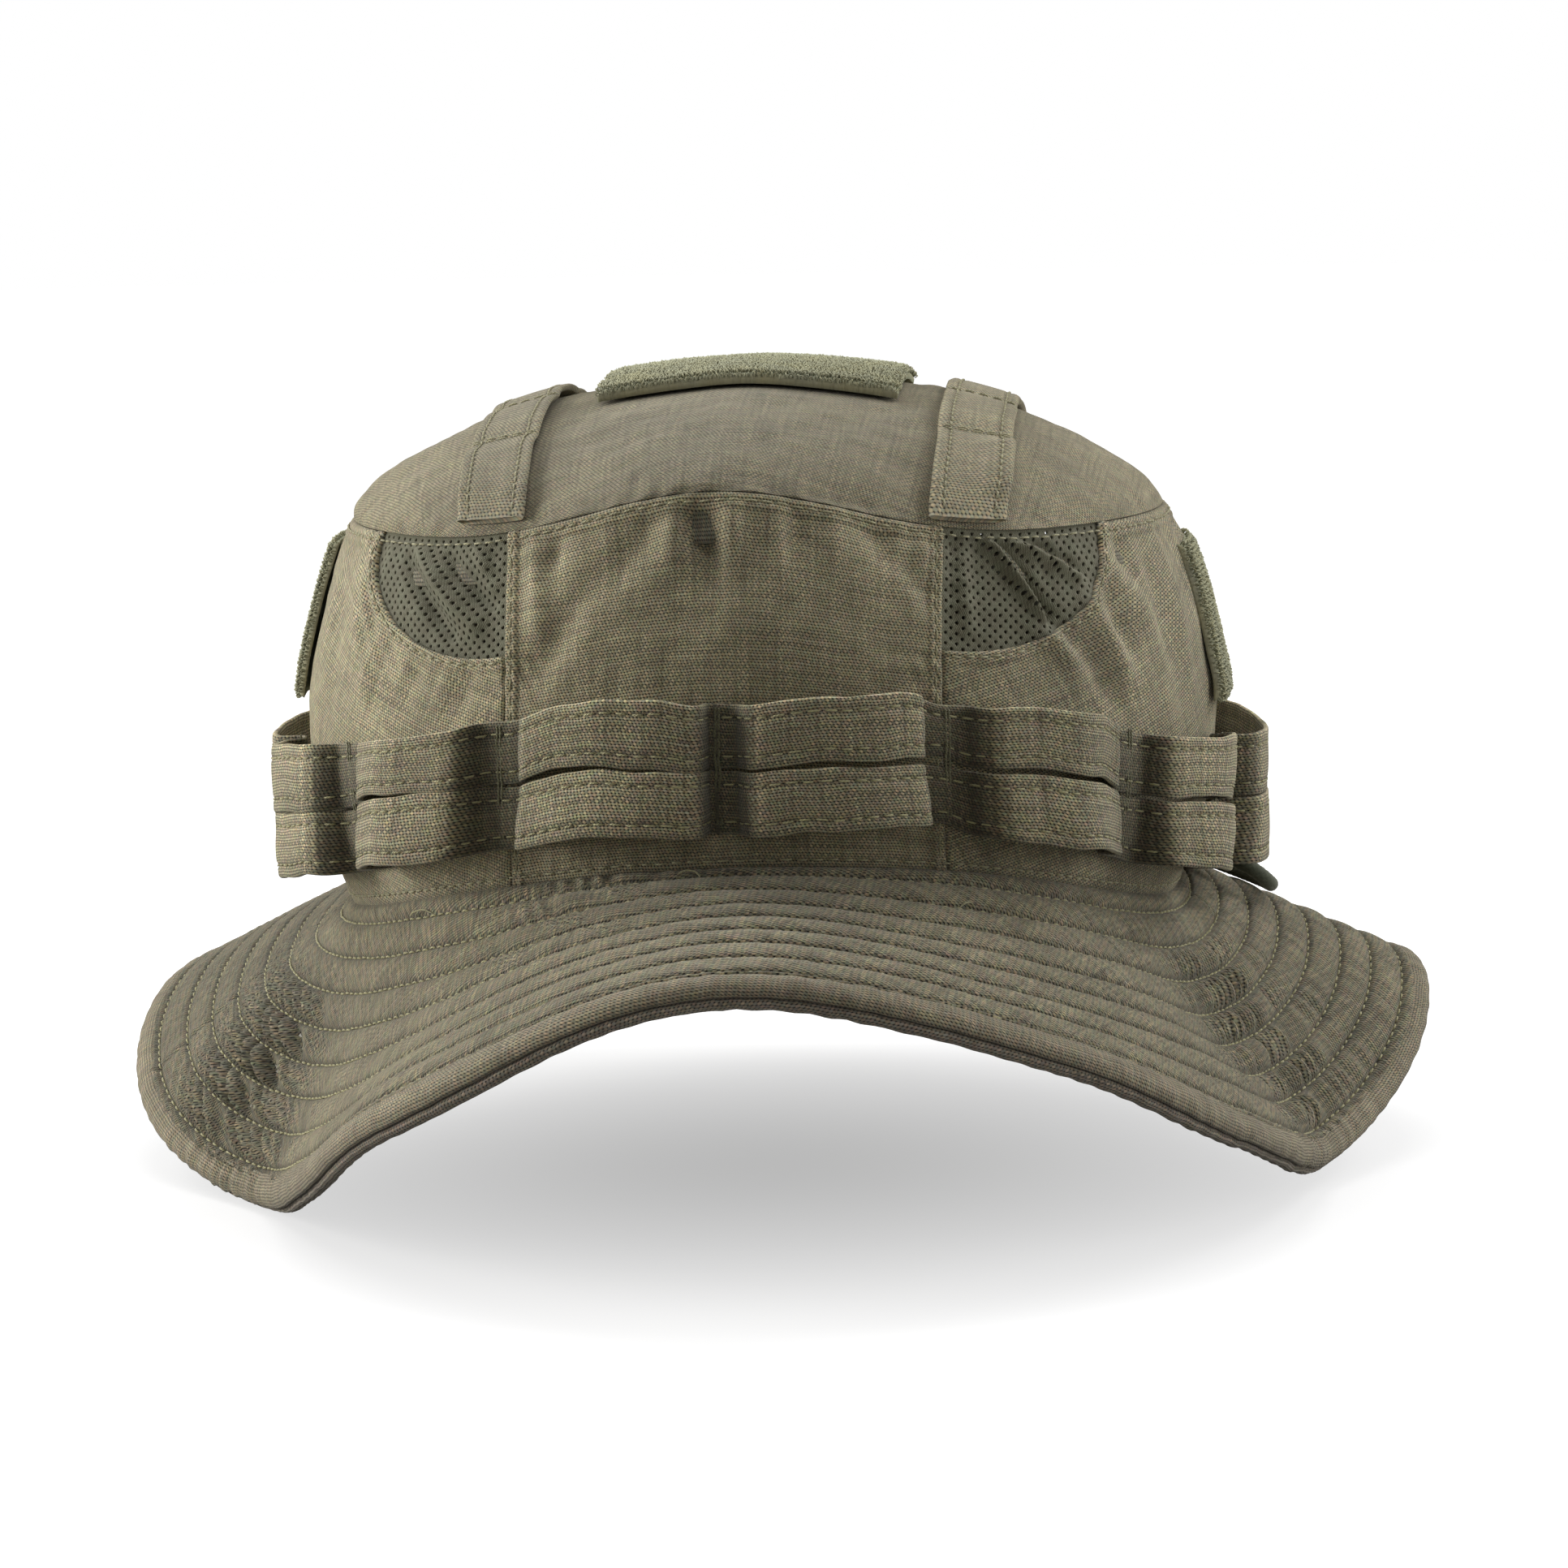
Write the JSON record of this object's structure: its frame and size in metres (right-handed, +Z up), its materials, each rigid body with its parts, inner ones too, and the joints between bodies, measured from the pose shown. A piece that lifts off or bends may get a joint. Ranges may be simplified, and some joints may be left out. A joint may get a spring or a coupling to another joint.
{
  "type": "boonie hat",
  "caption": "Soft sun hat with a stitched, drooping brim, mesh vents, foliage loops round the crown, loop-pile patches and a chin cord with a sprung cord lock.",
  "frame": {"origin": "centre of the head opening, level with the crown seam at the two sides", "axes": "+Z up out of the top of the crown, -Y towards the front of the hat, +X towards the right of the hat seen from the front"},
  "size_m": [0.268, 0.3499, 0.1616],
  "materials": {
    "brim_edge_roll": "plain weave, ripstop flecks",
    "brim_interlining": "stiff felt",
    "brim_top_back": "plain weave, ripstop flecks",
    "brim_top_front": "plain weave, ripstop flecks",
    "brim_underside_back": "plain weave",
    "brim_underside_front": "plain weave",
    "chin_cord_left": "braided",
    "chin_cord_right": "braided",
    "cord_end_knot": "braided",
    "cord_lock_body": "matt moulded",
    "cord_lock_button": "matt moulded",
    "cord_lock_spring": "drawn wire",
    "crown_back_panel": "plain weave, ripstop flecks",
    "crown_front_panel": "plain weave, ripstop flecks",
    "crown_side_panel_left": "plain weave, ripstop flecks",
    "crown_side_panel_right": "plain weave, ripstop flecks",
    "crown_top_panel": "plain weave, ripstop flecks",
    "foliage_band_lower": "plain weave, ripstop flecks",
    "foliage_band_upper": "plain weave, ripstop flecks",
    "foot_seam_tape": "plain tape",
    "mesh_vent_back_left": "knitted air mesh",
    "mesh_vent_back_right": "knitted air mesh",
    "mesh_vent_front_left": "knitted air mesh",
    "mesh_vent_front_right": "knitted air mesh",
    "side_loop_patch_left": "loop pile",
    "side_loop_patch_right": "loop pile",
    "sweatband": "plain weave",
    "tip_seam_tape": "plain tape",
    "top_loop_patch": "loop pile",
    "top_strap_left": "plain weave, ripstop flecks",
    "top_strap_right": "plain weave, ripstop flecks"
  },
  "bodies": {
    "hat": {"brim_edge_roll": "brim_edge_roll", "brim_interlining": "brim_interlining", "brim_top_back": "brim_top_back", "brim_top_front": "brim_top_front", "brim_underside_back": "brim_underside_back", "brim_underside_front": "brim_underside_front", "chin_cord_left": "chin_cord_left", "chin_cord_right": "chin_cord_right", "cord_end_knot": "cord_end_knot", "crown_back_panel": "crown_back_panel", "crown_front_panel": "crown_front_panel", "crown_side_panel_left": "crown_side_panel_left", "crown_side_panel_right": "crown_side_panel_right", "crown_top_panel": "crown_top_panel", "foliage_band_lower": "foliage_band_lower", "foliage_band_upper": "foliage_band_upper", "foot_seam_tape": "foot_seam_tape", "mesh_vent_back_left": "mesh_vent_back_left", "mesh_vent_back_right": "mesh_vent_back_right", "mesh_vent_front_left": "mesh_vent_front_left", "mesh_vent_front_right": "mesh_vent_front_right", "side_loop_patch_left": "side_loop_patch_left", "side_loop_patch_right": "side_loop_patch_right", "sweatband": "sweatband", "tip_seam_tape": "tip_seam_tape", "top_loop_patch": "top_loop_patch", "top_strap_left": "top_strap_left", "top_strap_right": "top_strap_right"},
    "cord_lock": {"cord_lock_body": "cord_lock_body", "cord_lock_spring": "cord_lock_spring"},
    "cord_lock_plunger": {"cord_lock_button": "cord_lock_button"}
  },
  "joints": [
    {"name": "cord_lock_slide", "type": "slide", "parent": "hat", "child": "cord_lock", "axis": [0, 0.891, -0.454], "range_m": [-0.004, 0.022]},
    {"name": "button_press", "type": "slide", "parent": "cord_lock", "child": "cord_lock_plunger", "axis": [-1, 0, 0], "range_m": [0, 0.003], "stiffness_N_per_m": 900, "springref_m": -0.003, "deforming": ["cord_lock_spring"]}
  ]
}
